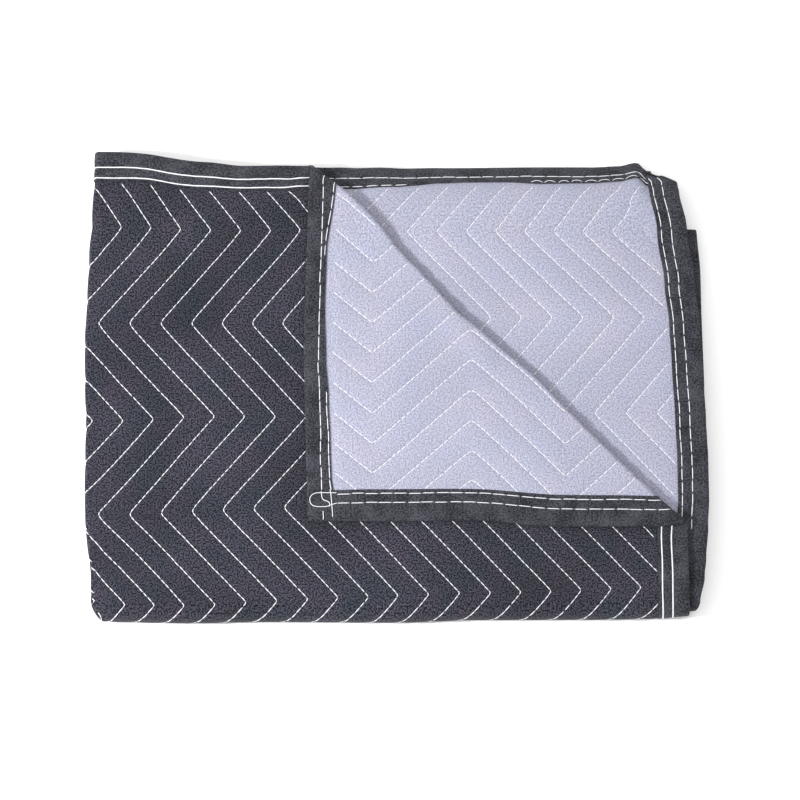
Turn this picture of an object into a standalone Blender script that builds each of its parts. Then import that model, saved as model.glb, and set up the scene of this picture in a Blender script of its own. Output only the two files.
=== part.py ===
"""A quilted moving pad, folded in six layers with one corner of the top layer turned back.

The pad is drawn flat, as a net of points (u, s): u runs across it from the first fold, positive on the
layer that ends on top, and s runs along it from the edge that shows at the back. The net is then bent:
the corner turned back, the pad doubled over its left fold, and the doubled band wrapped in thirds.
Metres, +Z up; the front fold faces -Y; the origin is on the floor under the middle of the folded pad.
"""

import math

import bmesh
import bpy
import numpy as np
from mathutils import Vector

# The pad's cloth, flat
LENGTH = 1.908  # along s, finished
WIDTH_UPPER = 0.900  # from the left fold to the edge on the upper layer
WIDTH_LOWER = 0.915  # from the left fold to the edge on the lower layer
THICK = 0.006  # between the crests of its two faces
GROOVE = 0.0020  # how far a quilting seam sinks into each face
EDGE_THICK = 0.0026  # pressed flat inside the bindings
TAPER = 0.0090  # from the pressed edge to full thickness
CORNER_CUT = 0.014  # the corners are rounded off by this much

# The quilting: zigzag seams that run along s
SEAM_PITCH = 0.04575
SEAM_START = 0.0376  # a seam's middle, from the left fold
SEAM_SWING = 0.063  # each seam swings this far to both sides of its middle
APEX_FIRST = 0.100  # the first row of points, from the back edge
APEX_STEP = 0.1474
TOP_APEXES = 4  # the front fold starts this many steps after the first row
SEAM_ROWS = 6  # seams sink into the cloth up to this row of points; the turns inside stay smooth
SMOOTH_PITCH = 3  # there the cloth's faces are this many half pitches wide

# The bindings: a folded strip over each edge
SIDE_BINDING = 0.046
END_BINDING = 0.038
BINDING_THICK = 0.0055
BINDING_WALL = 0.0009
BINDING_ROUND = 0.0012
CLEARANCE = 0.0012  # from a binding's inner edge to where the cloth swells
SKIN = 0.0003  # between the end of one binding and the side of the next
FOLD_ROOM = 0.012  # a strip's plain stations keep this clear of a fold
VISIBLE_SPACING = 0.026
HIDDEN_SPACING = 0.070
FAN_STEP = 0.006  # in steps of this length its stations lean over to follow the turned corner's fold

CHARCOAL = (0.062, 0.062, 0.085)
LAVENDER = (0.56, 0.56, 0.68)
BINDING_COLOR = (0.050, 0.050, 0.060)

# The folds
LAYER_GAP = 0.0015  # between the two layers of the doubled band
BAND_GAP = 0.0015  # between one turn of the band and the next
LAYER_MID = (THICK + LAYER_GAP) / 2  # from the band's middle to a layer's middle
BAND_STEP = 2 * THICK + LAYER_GAP + BAND_GAP
BOTTOM_MID = THICK + LAYER_GAP / 2
LEFT_FOLD_X = -0.466
RIGHT_UPPER_X = 0.4340
RIGHT_LOWER_X = 0.4550
BACK_EDGE_Y = 0.3490
BACK_FOLD_Y = 0.2390
TOP_LENGTH = APEX_FIRST + TOP_APEXES * APEX_STEP  # from the back edge to the front fold
FRONT_STEPS = 6
BACK_STEPS = 4
PUSH_REACH = APEX_FIRST + 2 * APEX_STEP  # the uneven back edge evens out over this length
HAIRPIN_STEPS = 4

# The corner that is turned back: the fold crosses the flat pad where u - s has this value
TURN_AT = 0.3345
TURN_RADIUS = (THICK + LAYER_GAP) / 2
TURN_STEPS = 4

# The tail of the top third droops behind the back fold: it bends, then runs straight to its edge
TAIL_STRAIGHT = END_BINDING + CLEARANCE + TAPER
TAIL_BEND = 0.032
TAIL_STEPS = 2
TAIL_LENGTH = TAIL_STRAIGHT + TAIL_BEND
TAIL_STEEPEST = 0.48  # radians at its end, where it droops most

FRONT_RADIUS = BAND_STEP
BACK_RADIUS = BAND_STEP / 2
FRONT_ARC = math.pi * FRONT_RADIUS
BACK_ARC = math.pi * BACK_RADIUS
FRONT_FOLD_Y = BACK_EDGE_Y - TOP_LENGTH
BOTTOM_LENGTH = BACK_FOLD_Y - FRONT_FOLD_Y
BACK_ARC_START = TOP_LENGTH + FRONT_ARC + BOTTOM_LENGTH
TOP_MID = BOTTOM_MID + 2 * BAND_STEP
PANEL_INSET = 0.0024  # the cloth ends this far inside its bindings
MERGE = 0.0001  # points of the net that are closer than this are one
LAST_ROW = LENGTH - PANEL_INSET
SMOOTH_FROM = APEX_FIRST + (SEAM_ROWS - 1) * APEX_STEP
TURN_REACH = math.sqrt(2) * math.pi * TURN_RADIUS / 2  # along an edge, from the fold's middle to its end
ROW_SLACK = 0.001  # two places along s that are closer than this are the same row

# The uneven places of the folded pad
BACK_PUSH_LEFT = 0.018
BACK_PUSH_RIGHT = 0.006
STIFF_SHARE = 0.36  # of the tail's steepest droop, at the left fold
LEFT_FOLD_REACH = 0.30  # the left fold's waves even out this far from it
LEAN_START = 0.40  # the right edge's waves even out this far from the left fold
LEAN_REACH = 0.50


def spaced(start, length, steps):
    return [start + length * i / steps for i in range(steps + 1)]


def apex_rows():
    count = int((LENGTH - APEX_FIRST) / APEX_STEP) + 1
    return [APEX_FIRST + APEX_STEP * i for i in range(count)]


def all_rows():
    """The places along s where the cloth's faces meet: seam points, fold steps and edges."""
    rows = [PANEL_INSET, END_BINDING + CLEARANCE]
    rows += spaced(TAIL_STRAIGHT, TAIL_BEND, TAIL_STEPS)
    rows += spaced(TOP_LENGTH, FRONT_ARC, FRONT_STEPS)
    rows += spaced(BACK_ARC_START, BACK_ARC, BACK_STEPS)
    rows += [LENGTH - END_BINDING - CLEARANCE, LAST_ROW]
    for row in apex_rows():
        if all(abs(row - r) > ROW_SLACK for r in rows):
            rows.append(row)
    return sorted(rows)


ROWS = np.array(all_rows())


def smooth(t):
    t = np.clip(t, 0.0, 1.0)
    return t * t * (3 - 2 * t)


# How the folded pad's outline waves. Each table is read along s, in metres.
# s, how far the left fold moves to +X
LEFT_FOLD = (
    (0.000, 0.014),
    (0.046, 0.014),
    (0.100, 0.010),
    (0.248, 0.000),
    (0.397, -0.002),
    (0.545, -0.001),
    (0.693, 0.009),
    (0.717, 0.034),
    (0.740, 0.010),
    (0.841, 0.003),
    (1.138, 0.000),
    (1.330, 0.007),
    (1.435, 0.001),
    (1.908, 0.004),
)
# s, how far the lower layer's right edge moves to +X
RIGHT_LOWER = (
    (0.000, -0.034),
    (0.046, -0.026),
    (0.100, -0.015),
    (0.248, 0.001),
    (0.397, 0.006),
    (0.545, 0.011),
    (0.693, 0.002),
    (0.717, -0.002),
    (0.740, 0.002),
    (0.841, 0.006),
    (1.138, 0.003),
    (1.330, 0.001),
    (1.583, 0.004),
    (1.908, 0.006),
)
# s, how far the upper layer's right edge moves to +X
RIGHT_UPPER = (
    (0.693, 0.000),
    (0.740, 0.001),
    (0.990, 0.006),
    (1.286, 0.011),
    (1.435, 0.006),
    (1.908, 0.009),
)


def read_table(table, s):
    """A table read at the cloth's rows and straight between them, so that faces stay flat."""
    at_rows = np.interp(ROWS, [row[0] for row in table], [row[1] for row in table])
    return np.interp(s, ROWS, at_rows)


def back_edge_push(x):
    """The back edge reaches further back beside the left fold and at the right end."""
    left = BACK_PUSH_LEFT * (1 - smooth((x + 0.43) / 0.23))
    return left + BACK_PUSH_RIGHT * smooth((x - 0.28) / 0.08)


def tail_angle(x):
    """How steep the tail's end is: stiff at the left fold, limp where it is one layer."""
    limp = smooth((x + 0.45) / 0.58)
    return TAIL_STEEPEST * (STIFF_SHARE + (1 - STIFF_SHARE) * limp)


def band_stations(x):
    """For each row, the middle of the band (y, z) and its outward normal, for the points at x."""
    return np.array([band_at(row, x) for row in ROWS])


def band_at(s, x):
    """The middle of the band (y, z) and its outward normal, at s, for the points at x."""
    one = np.ones_like(x)
    if s < TAIL_LENGTH:
        bend = tail_angle(x) * min((TAIL_LENGTH - s) / TAIL_BEND, 1.0)
        radius = TAIL_BEND / tail_angle(x)
        past = max(0.0, TAIL_STRAIGHT - s)
        y = BACK_EDGE_Y - TAIL_LENGTH + radius * np.sin(bend) + past * np.cos(bend)
        z = TOP_MID - radius * (1 - np.cos(bend)) - past * np.sin(bend)
        return [y, z, np.sin(bend), np.cos(bend)]
    if s <= TOP_LENGTH:
        return [(BACK_EDGE_Y - s) * one, TOP_MID * one, 0 * one, one]
    if s <= TOP_LENGTH + FRONT_ARC:
        turn = (s - TOP_LENGTH) / FRONT_RADIUS
        y = FRONT_FOLD_Y - FRONT_RADIUS * math.sin(turn)
        z = BOTTOM_MID + FRONT_RADIUS * (1 + math.cos(turn))
        return [y * one, z * one, -math.sin(turn) * one, math.cos(turn) * one]
    if s <= BACK_ARC_START:
        y = FRONT_FOLD_Y + s - TOP_LENGTH - FRONT_ARC
        return [y * one, BOTTOM_MID * one, 0 * one, -one]
    if s <= BACK_ARC_START + BACK_ARC:
        turn = (s - BACK_ARC_START) / BACK_RADIUS
        y = BACK_FOLD_Y + BACK_RADIUS * math.sin(turn)
        z = BOTTOM_MID + BACK_RADIUS * (1 - math.cos(turn))
        return [y * one, z * one, math.sin(turn) * one, -math.cos(turn) * one]
    y = BACK_FOLD_Y - (s - BACK_ARC_START - BACK_ARC)
    return [y * one, (BOTTOM_MID + BAND_STEP) * one, 0 * one, one]


def turn_corner(u, s, w):
    """The flat upper layer with its corner turned back: new u, new s and height over its middle."""
    start = -math.pi * TURN_RADIUS / 2
    angles = np.array(spaced(0.0, math.pi, TURN_STEPS))
    d = (u - s - TURN_AT) / math.sqrt(2)
    turned = np.interp((d - start) / TURN_RADIUS, angles, angles)
    sin = np.interp(turned, angles, np.sin(angles))
    cos = np.interp(turned, angles, np.cos(angles))
    past = np.maximum(0.0, d - start - math.pi * TURN_RADIUS)
    bent = start + (TURN_RADIUS - w) * sin - past
    moved = np.where(d > start, bent - d, 0.0)
    height = np.where(d > start, TURN_RADIUS * (1 - cos) + w * cos, w)
    return u + moved / math.sqrt(2), s - moved / math.sqrt(2), height


def double_over(u, s, height):
    """The left fold: where a point lies across the pad (x) and above the band's middle (a)."""
    half = math.pi * LAYER_MID / 2
    centre = LEFT_FOLD_X + LAYER_MID + THICK / 2
    angles = np.array(spaced(-math.pi / 2, math.pi, HAIRPIN_STEPS))
    sin = np.interp(u / LAYER_MID, angles, np.sin(angles))
    cos = np.interp(u / LAYER_MID, angles, np.cos(angles))
    along = np.maximum(0.0, np.abs(u) - half)
    run = np.where(
        u > 0,
        (RIGHT_UPPER_X - centre) / (WIDTH_UPPER - half),
        (RIGHT_LOWER_X - centre) / (WIDTH_LOWER - half),
    )
    x = centre + along * run - (LAYER_MID + height) * cos
    x = x + read_table(LEFT_FOLD, s) * np.clip(1 - along / LEFT_FOLD_REACH, 0, 1)
    lean = np.where(u > 0, read_table(RIGHT_UPPER, s), read_table(RIGHT_LOWER, s))
    x = x + lean * np.clip((along - LEAN_START) / LEAN_REACH, 0, 1)
    return x, (LAYER_MID + height) * sin


def folded(u, s, w):
    """Where a point of the flat pad, w above its middle on the charcoal side, lies in the folded pad."""
    u, s, w = (np.asarray(value, dtype=float) for value in (u, s, w))
    turned_u, turned_s, height = turn_corner(u, s, w)
    in_corner = (u > 0) & (s < TOP_LENGTH)
    u = np.where(in_corner, turned_u, u)
    s = np.where(in_corner, turned_s, s)
    height = np.where(in_corner, height, w)
    x, a = double_over(u, s, height)
    stations = band_stations(x)
    i = np.clip(np.searchsorted(ROWS, s) - 1, 0, len(ROWS) - 2)
    share = (s - ROWS[i]) / (ROWS[i + 1] - ROWS[i])
    at = np.arange(len(x))
    here, there = stations[i, :, at], stations[i + 1, :, at]
    y, z, ny, nz = (here * (1 - share[:, None]) + there * share[:, None]).T
    push = back_edge_push(x) * np.clip(1 - s / PUSH_REACH, 0, 1)
    return np.stack([x, y + ny * a + push, z + nz * a], axis=1)


def zigzag(s):
    """How far a seam has swung at s, with its points on the apex rows."""
    turns = (s - APEX_FIRST) / APEX_STEP / 2
    return SEAM_SWING * (1 - 4 * np.abs(turns - np.round(turns)))


def edge_room(u, s):
    """How far a point of the panel is inside each pair of edges: side and end."""
    side = np.where(u > 0, WIDTH_UPPER - u, WIDTH_LOWER + u)
    return side, np.minimum(s, LENGTH - s)


def half_thickness(u, s, charcoal):
    """Half the quilted panel's thickness: 0 at a seam, full between seams, pressed at the edges."""
    between = (u - SEAM_START - zigzag(s)) / SEAM_PITCH
    puff = 2 * np.abs(between - np.round(between))
    on_floor = (u > 0) & (s > TOP_LENGTH + FRONT_ARC - ROW_SLACK)
    inside = s > SMOOTH_FROM + ROW_SLACK
    depth = np.where(inside | (on_floor & charcoal), 0.0, GROOVE)
    full = THICK / 2 - depth * (1 - puff)
    side, end = edge_room(u, s)
    rise_side = np.clip((side - SIDE_BINDING - CLEARANCE) / TAPER, 0, 1)
    rise_end = np.clip((end - END_BINDING - CLEARANCE) / TAPER, 0, 1)
    rise = np.minimum(rise_side, rise_end)
    return EDGE_THICK / 2 + (full - EDGE_THICK / 2) * rise


def in_turned_corner(face):
    middle = face.calc_center_median()
    return middle.x - middle.y > TURN_AT


def cut_net(net, point, normal, trim=False, only_turned=False):
    """Splits the net's faces along a line. With trim, what lies on the normal's side goes away."""
    faces = [f for f in net.faces if not only_turned or in_turned_corner(f)]
    edges = dict.fromkeys(e for f in faces for e in f.edges)
    points = dict.fromkeys(v for f in faces for v in f.verts)
    bmesh.ops.bisect_plane(
        net,
        geom=[*points, *edges, *faces],
        plane_co=(*point, 0),
        plane_no=(*normal, 0),
        clear_outer=trim,
        dist=MERGE / 10,
    )


def seam_rows(net):
    """Where the quilting shows: a column of faces on each side of every seam."""
    half_pitch = SEAM_PITCH / 2
    first = -math.ceil((WIDTH_LOWER + 2 * SEAM_SWING) / half_pitch)
    last = math.ceil((WIDTH_UPPER + 2 * SEAM_SWING) / half_pitch)
    columns = last - first + (first - last) % SMOOTH_PITCH
    below = []
    for s in ROWS[ROWS < SMOOTH_FROM + ROW_SLACK]:
        shift = SEAM_START + float(zigzag(s))
        places = [shift + (first + j) * half_pitch for j in range(columns + 1)]
        row = [net.verts.new((u, s, 0)) for u in places]
        for j in range(len(below) - 1):
            net.faces.new((below[j], below[j + 1], row[j + 1], row[j]))
        below = row
    return below


def smooth_rows(net, last_seam_row):
    """The turns inside the folded pad: wide plain faces."""
    below = None
    for s in ROWS[ROWS > SMOOTH_FROM + ROW_SLACK]:
        row = [net.verts.new((v.co.x, s, 0)) for v in last_seam_row[::SMOOTH_PITCH]]
        for j in range(len(row) - 1):
            if below:
                edge = (below[j], below[j + 1])
            else:
                edge = last_seam_row[SMOOTH_PITCH * j : SMOOTH_PITCH * (j + 1) + 1]
            net.faces.new((*edge, row[j + 1], row[j]))
        below = row


def panel_net():
    """The flat panel, its faces meeting at the seams, the crests between them and every fold."""
    net = bmesh.new()
    last_seam_row = seam_rows(net)
    smooth_rows(net, last_seam_row)
    corner = CORNER_CUT + PANEL_INSET
    for edge in (WIDTH_UPPER, -WIDTH_LOWER):
        side = math.copysign(1, edge)
        cut_net(net, (edge - side * PANEL_INSET, 0), (side, 0), trim=True)
        cut_net(net, (edge - side * corner, 0), (side, -1), trim=True)
        cut_net(net, (edge - side * corner, LENGTH), (side, 1), trim=True)
        cut_net(net, (edge - side * (SIDE_BINDING + CLEARANCE), 0), (side, 0))
    for turn in spaced(-math.pi / 2, math.pi, HAIRPIN_STEPS):
        cut_net(net, (turn * LAYER_MID, 0), (1, 0))
    for turn in spaced(-1, 2, TURN_STEPS):
        cut_net(net, (TURN_AT + turn * TURN_REACH, 0), (1, -1))
    for row in spaced(TAIL_STRAIGHT, TAIL_BEND, TAIL_STEPS):
        cut_net(net, (TURN_AT + row, 0), (1, 0), only_turned=True)
    bmesh.ops.remove_doubles(net, verts=net.verts, dist=MERGE)
    bmesh.ops.triangulate(net, faces=net.faces)
    return net


def new_object(name, points, faces, materials, face_materials=None):
    mesh = bpy.data.meshes.new(name)
    mesh.from_pydata([tuple(p) for p in points], [], faces)
    for material in materials:
        mesh.materials.append(material)
    if face_materials is not None:
        mesh.polygons.foreach_set("material_index", face_materials)
    mesh.validate()
    obj = bpy.data.objects.new(name, mesh)
    bpy.context.collection.objects.link(obj)
    return obj


def cloth_material(name, color, roughness):
    material = bpy.data.materials.new(name)
    material.use_nodes = True
    shader = material.node_tree.nodes["Principled BSDF"]
    shader.inputs["Base Color"].default_value = (*color, 1)
    shader.inputs["Roughness"].default_value = roughness
    shader.inputs["Metallic"].default_value = 0.0
    return material


def quilted_panel():
    """One solid: the net's charcoal face, its lavender face and the pressed rim between them."""
    net = panel_net()
    net.verts.index_update()
    flat = np.array([v.co[:2] for v in net.verts])
    u, s = flat.T
    charcoal = folded(u, s, half_thickness(u, s, True))
    lavender = folded(u, s, -half_thickness(u, s, False))
    count = len(flat)
    faces, face_materials = [], []
    for f in net.faces:
        corners = [v.index for v in f.verts]
        if f.normal.z > 0:
            corners.reverse()
        faces.append(corners)
        face_materials.append(0)
        faces.append([i + count for i in reversed(corners)])
        face_materials.append(1)
    for e in net.edges:
        if len(e.link_faces) == 1:
            a, b = rim_edge(e)
            faces.append([b, a, a + count, b + count])
            face_materials.append(1)
    net.free()
    dark = cloth_material("charcoal face", CHARCOAL, 0.95)
    light = cloth_material("lavender face", LAVENDER, 0.95)
    points = np.concatenate([charcoal, lavender])
    new_object("quilted_panel", points, faces, [dark, light], face_materials)


def rim_edge(edge):
    """The ends of a border edge of the net, in the order in which its face turns."""
    loop = edge.link_loops[0]
    a, b = loop.vert.index, loop.link_loop_next.vert.index
    return (b, a) if edge.link_faces[0].normal.z > 0 else (a, b)


def binding_section(width):
    """The folded strip across the edge: how far in from the edge, and how far from the middle."""
    outer = BINDING_THICK / 2
    inner = outer - BINDING_WALL
    return (
        (width, outer),
        (BINDING_ROUND, outer),
        (0.0, outer - BINDING_ROUND),
        (0.0, BINDING_ROUND - outer),
        (BINDING_ROUND, -outer),
        (width, -outer),
        (width, -inner),
        (BINDING_WALL, -inner),
        (BINDING_WALL, inner),
        (width, inner),
    )


def binding(name, width, stations, edge_point):
    """A strip folded over an edge. A station gives where it crosses the edge, how far it leans
    along the edge for each metre inwards, and how far it is drawn in there."""
    section = binding_section(width)
    flat = []
    for place, lean, drawn_in in stations:
        for depth, w in section:
            if depth < width:
                depth += drawn_in
            u, s = edge_point(place + lean * depth, depth)
            flat.append((u, s, w))
    points = folded(*np.array(flat).T)
    n = len(section)
    faces = [list(range(n)), list(reversed(range(len(points) - n, len(points))))]
    for k in range(len(stations) - 1):
        for i in range(n):
            j = (i + 1) % n
            faces.append([k * n + i, (k + 1) * n + i, (k + 1) * n + j, k * n + j])
    material = cloth_material(name + " cloth", BINDING_COLOR, 0.85)
    obj = new_object(name, points, faces, [material])
    net = bmesh.new()
    net.from_mesh(obj.data)
    bmesh.ops.triangulate(net, faces=net.faces)
    bmesh.ops.recalc_face_normals(net, faces=net.faces)
    net.to_mesh(obj.data)
    net.free()


def side_stations(turned):
    """Rows along a side edge. On the upper layer the turned corner's fold crosses at 45 degrees."""
    start, end = SKIN, LENGTH - SKIN
    rounded = (start + CORNER_CUT, end - CORNER_CUT)
    rows = [(start, 0.0, CORNER_CUT), (rounded[0], 0.0, 0.0)]
    rows += [(float(row), 0.0, 0.0) for row in ROWS if rounded[0] < row < rounded[1]]
    rows += [(rounded[1], 0.0, 0.0), (end, 0.0, CORNER_CUT)]
    if turned:
        crossing = WIDTH_UPPER - TURN_AT
        beside = (crossing - SIDE_BINDING - FOLD_ROOM, crossing + FOLD_ROOM)
        rows = [row for row in rows if not beside[0] < row[0] < beside[1]]
        rows += [(s, -1.0, 0.0) for s in spaced(crossing - TURN_REACH, 2 * TURN_REACH, TURN_STEPS)]
    return sorted(rows)


def end_stations(turned, spacing):
    """Places along an end edge, close together where the fold or the droop bends the strip."""
    start, end = SIDE_BINDING + SKIN - WIDTH_LOWER, WIDTH_UPPER - SIDE_BINDING - SKIN
    places = spaced(start, end - start, round((end - start) / spacing))
    places = [(u, 0.0, 0.0) for u in places if abs(u) > FOLD_ROOM]
    places += [(turn * LAYER_MID, 0.0, 0.0) for turn in spaced(-math.pi / 2, math.pi, HAIRPIN_STEPS)]
    if turned:
        before = TURN_AT - TURN_REACH
        beside = (before - 4 * FAN_STEP, TURN_AT + TAIL_LENGTH + FAN_STEP)
        places = [place for place in places if not beside[0] < place[0] < beside[1]]
        places += [(before - FAN_STEP * i, 1 - i / 3, 0.0) for i in (1, 2, 3)]
        places += [(u, 1.0, 0.0) for u in spaced(before, 2 * TURN_REACH, TURN_STEPS)]
        tail = spaced(TURN_AT + TAIL_STRAIGHT, TAIL_BEND, TAIL_STEPS)
        places += [(u, 0.0, 0.0) for u in tail]
    return sorted(places)


def bindings():
    """The four strips, each folded over one edge of the panel."""
    binding(
        "side_binding_upper",
        SIDE_BINDING,
        side_stations(True),
        lambda along, depth: (WIDTH_UPPER - depth, along),
    )
    binding(
        "side_binding_lower",
        SIDE_BINDING,
        side_stations(False),
        lambda along, depth: (depth - WIDTH_LOWER, along),
    )
    binding(
        "end_binding_back",
        END_BINDING,
        end_stations(True, VISIBLE_SPACING),
        lambda along, depth: (along, depth),
    )
    binding(
        "end_binding_tucked",
        END_BINDING,
        end_stations(False, HIDDEN_SPACING),
        lambda along, depth: (along, LENGTH - depth),
    )


def centre_on_origin():
    """Moves every mesh so that the middle of the folded pad's footprint is over the origin."""
    objects = [o for o in bpy.context.scene.objects if o.type == "MESH"]
    corners = np.array([v.co[:] for o in objects for v in o.data.vertices])
    low, high = corners.min(axis=0), corners.max(axis=0)
    move = Vector(((low[0] + high[0]) / -2, (low[1] + high[1]) / -2, -low[2]))
    for o in objects:
        for v in o.data.vertices:
            v.co += move


def main():
    for obj in list(bpy.data.objects):
        bpy.data.objects.remove(obj)
    quilted_panel()
    bindings()
    centre_on_origin()


main()
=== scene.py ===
"""The looks of a folded moving pad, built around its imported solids.

Every piece is drawn flat first. A point has a place (u, s) on the flat pad and a height w over the
pad's middle, towards its charcoal side. u runs across the pad from the left fold, positive on the upper
layer, and s runs along it from the edge that shows at the back. folded() then lays the point where it
lies in the folded pad: the corner is turned back, the pad doubled over its left fold, and the doubled
band wrapped in thirds. Metres, in the frame of the solids.
"""

import math

import bmesh
import bpy
import numpy as np

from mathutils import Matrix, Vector


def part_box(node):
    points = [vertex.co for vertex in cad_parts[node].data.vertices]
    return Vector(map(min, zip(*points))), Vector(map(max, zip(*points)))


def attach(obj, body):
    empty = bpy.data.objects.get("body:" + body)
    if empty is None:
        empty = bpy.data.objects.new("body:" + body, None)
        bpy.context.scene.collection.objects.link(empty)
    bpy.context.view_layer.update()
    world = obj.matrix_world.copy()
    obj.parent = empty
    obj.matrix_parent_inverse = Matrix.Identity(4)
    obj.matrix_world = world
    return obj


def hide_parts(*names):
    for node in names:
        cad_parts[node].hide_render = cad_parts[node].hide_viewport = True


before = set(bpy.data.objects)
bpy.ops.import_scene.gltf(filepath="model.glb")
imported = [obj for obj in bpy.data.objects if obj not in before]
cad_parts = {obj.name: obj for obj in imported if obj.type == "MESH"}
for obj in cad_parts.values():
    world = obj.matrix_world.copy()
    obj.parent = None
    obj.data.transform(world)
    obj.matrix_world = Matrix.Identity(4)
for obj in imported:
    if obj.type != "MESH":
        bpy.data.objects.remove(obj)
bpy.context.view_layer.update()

# The pad's cloth, flat
LENGTH = 1.908
WIDTH_UPPER = 0.900
WIDTH_LOWER = 0.915
THICK = 0.0062
GROOVE = 0.0012  # how far a quilted channel sinks into each face
GROOVE_SHARPNESS = 2.4
DIMPLE = 0.0004  # how much further the stitches pull it in
DIMPLE_WIDTH = 0.0030
PRESSED_OUT = 0.6  # the share of both that is pressed out where the pad lies on the floor
PRESSED_FROM, PRESSED_TO = 0.02, 0.01  # the lengths over which that begins and ends
EDGE_THICK = 0.0026
TAPER = 0.0120
TAPER_INSET = 0.001  # the taper starts this far inside the binding
CORNER_CUT = 0.012
PANEL_INSET = 0.0024
LOWER_STEP = 0.031  # how far the lower end binding stops short of the side edge
LOWER_SLANT = (-0.78, -1)  # across the lower layer's slanted back corner
LOWER_SLANT_INSET = 0.005
LOWER_SIDE_START = 0.013
END_INSET = 0.0003  # how far before the pad's end the side bindings stop
BACK_INSET = 0.0005  # and the back end's binding before its side

# The quilting
SEAM_PITCH = 0.04575
SEAM_START = 0.0376
SEAM_SWING = 0.063
APEX_FIRST = 0.100
APEX_STEP = 0.1474
APEXES = 13  # the rows of points on the whole pad
TOP_STEPS = 4  # the front fold starts this many rows after the first
SEAM_SLOPE = 2 * SEAM_SWING / APEX_STEP
SHARP_POINT = 0.005  # how round a seam's points are, as a share of two steps
ROUND_POINT = 0.014

# The bindings
SIDE_BINDING = 0.046
END_BINDING = 0.038
BINDING_THICK = 0.0055
BINDING_WALL = 0.0009
CLEARANCE = 0.0012
SIDE_ROWS = (0.0245, 0.0395)  # from the edge to its two rows of stitches
END_ROWS = (0.0220, 0.0350)
CROWN = 0.0005  # how far a binding rises between its edge and its first row
ROW_DIP = 0.0008  # how far each row of stitches presses it in
ROW_DIP_WIDTH = 0.0022
FLARE = 0.0003  # how far its inner edge stands up again
LIP = 0.0005  # how thin that edge is
LIP_ROUND, LIP_DROP = 0.0008, 0.0004  # how far in and how far down it is rounded off
ROW_BESIDE = 0.0025  # how far beside each row the tape's section has points
CORE_DEPTH, CORE_HEIGHT = 0.0030, 0.0010  # where the tape's inside ends, at its fold
SIDE_IN_REACH = 0.020  # how deep the upper side's unevenness is full
CURL_FROM, CURL_LENGTH = 0.027, 0.008  # how deep the back end's curl begins, and over what length
CUT_OFF_DEPTH = 0.015  # how deep the slanted end of the lower side reaches
CUT_OFF_LENGTH, CUT_OFF_END = 0.05, 0.06
END_SWELL = 0.12
CORNER_SWELL = 0.26
CORNER_SWELL_FADES = (0.045, 0.03)
SIDES_APART = 0.05  # between the binding's two sides on its map
TAPE_SPACING = 0.006  # between its cuts where it shows
TAPE_SPACING_HIDDEN = 0.02
TAPE_CREASE = math.radians(60)
UPPER_SIDE_START = 0.004

# The folds
LAYER_GAP = 0.0015
BAND_GAP = 0.0015
FOLD_THICK = 0.006  # the cloth's thickness as the folds are laid out
FOLD_TAPER = 0.009  # and the length of its taper
LAYER_MID = (FOLD_THICK + LAYER_GAP) / 2
BAND_STEP = 2 * FOLD_THICK + LAYER_GAP + BAND_GAP
BOTTOM_MID = FOLD_THICK + LAYER_GAP / 2
LEFT_FOLD_X = -0.466
RIGHT_UPPER_X = 0.4340
RIGHT_LOWER_X = 0.4550
BACK_EDGE_Y = 0.3490
BACK_FOLD_Y = 0.2390
TOP_LENGTH = APEX_FIRST + TOP_STEPS * APEX_STEP
TURN_AT = 0.3345
TURN_RADIUS = (FOLD_THICK + LAYER_GAP) / 2
TAIL_STRAIGHT = END_BINDING + CLEARANCE + FOLD_TAPER
TAIL_BEND = 0.032
TAIL_LENGTH = TAIL_STRAIGHT + TAIL_BEND
FRONT_RADIUS = BAND_STEP
BACK_RADIUS = BAND_STEP / 2
FRONT_ARC = math.pi * FRONT_RADIUS
BACK_ARC = math.pi * BACK_RADIUS
FRONT_FOLD_Y = BACK_EDGE_Y - TOP_LENGTH
BOTTOM_LENGTH = BACK_FOLD_Y - FRONT_FOLD_Y
BACK_ARC_START = TOP_LENGTH + FRONT_ARC + BOTTOM_LENGTH
TOP_MID = BOTTOM_MID + 2 * BAND_STEP
LOWER_BULGE = 0.011  # how far past RIGHT_LOWER_X the lower side binding's solid reaches

# How far the unevenness of each edge reaches over the pad
CORNER_REACH = 0.15
TURN_REACH = 0.045
LEFT_FOLD_REACH = 0.16
LEFT_CORNER_REACH = 0.055
BACK_PUSH_REACH = 0.102
BACK_FOLD_REACH = 0.12
FRONT_PULL_REACH = 0.25
TOP_FADE = 0.06  # waves and creases fade out over this length before the front fold
RIGHT_EDGE_GROWS = (0.40, 0.50)  # from the left fold: where it begins, and over what length

# How high the waves of the cloth on top are
SLOW_WAVE = 0.0009  # about 0.6 m long
SHORT_WAVE = 0.0005  # about 0.2 m long

# How uneven the folded pad is
# s, how far the left fold moves to +X
LEFT_FOLD = (
    (0.0, 0.004), (0.038, 0.0035), (0.086, 0.0022), (0.133, -0.0005), (0.228, -0.0024),
    (0.275, -0.004), (0.322, -0.0025), (0.417, 0.001), (0.512, 0.0015), (0.56, 0.0035),
    (0.606, 0.0065), (0.653, 0.0095), (0.693, 0.009), (0.74, 0.012), (0.841, 0.01), (1.0, 0.004),
    (1.138, 0.0), (1.33, 0.007), (1.435, 0.001), (1.7, 0.008), (1.908, 0.019),
)
# s, how far the front corner of the left fold is rounded off
LEFT_CORNER = (
    (0.58, 0.0), (0.653, 0.0045), (0.693, 0.006), (0.717, 0.014), (0.735, 0.006), (0.78, 0.0),
)
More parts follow.
